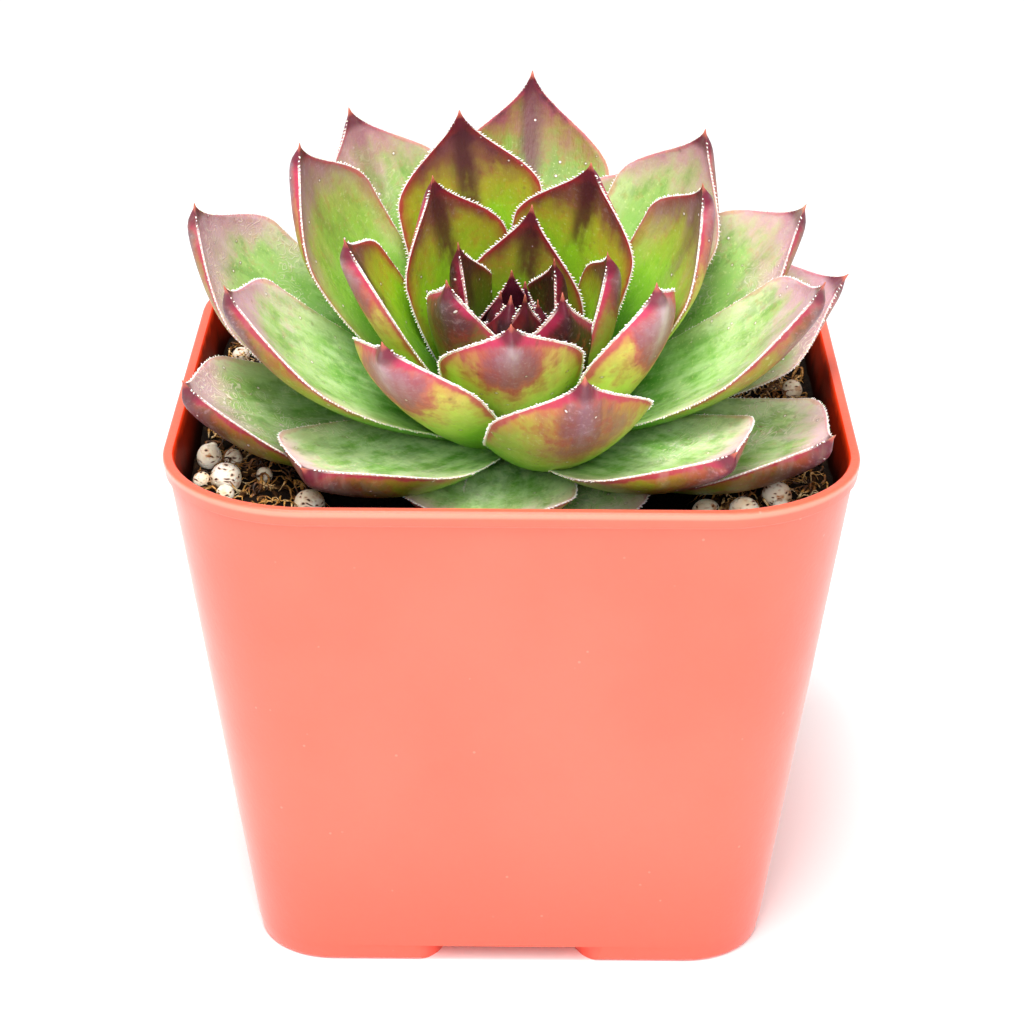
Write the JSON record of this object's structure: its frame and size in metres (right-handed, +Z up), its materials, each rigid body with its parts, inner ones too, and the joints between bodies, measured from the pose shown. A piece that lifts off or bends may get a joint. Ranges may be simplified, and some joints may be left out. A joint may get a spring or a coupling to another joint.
{
  "type": "potted houseleek rosette",
  "caption": "Hens and chicks succulent: a leaning rosette of pointed fleshy leaves in potting mix, in a square tapered plastic nursery pot.",
  "frame": {"origin": "on the ground under the middle of the pot's base", "axes": "+Z up, -Y is the front that the rosette leans to, +X is the viewer's right"},
  "size_m": [0.0641, 0.0636, 0.0758],
  "materials": {
    "pot_plastic": "coral polypropylene with a soft satin sheen",
    "mix": "dark damp peat and bark fibre with speckled white granules",
    "leaf": "waxy green leaf, dusty purple towards the tip, with a fine white fringe"
  },
  "bodies": {
    "root": {"pot": "pot_plastic", "potting_mix": "mix", "rosette": "leaf"}
  },
  "joints": []
}
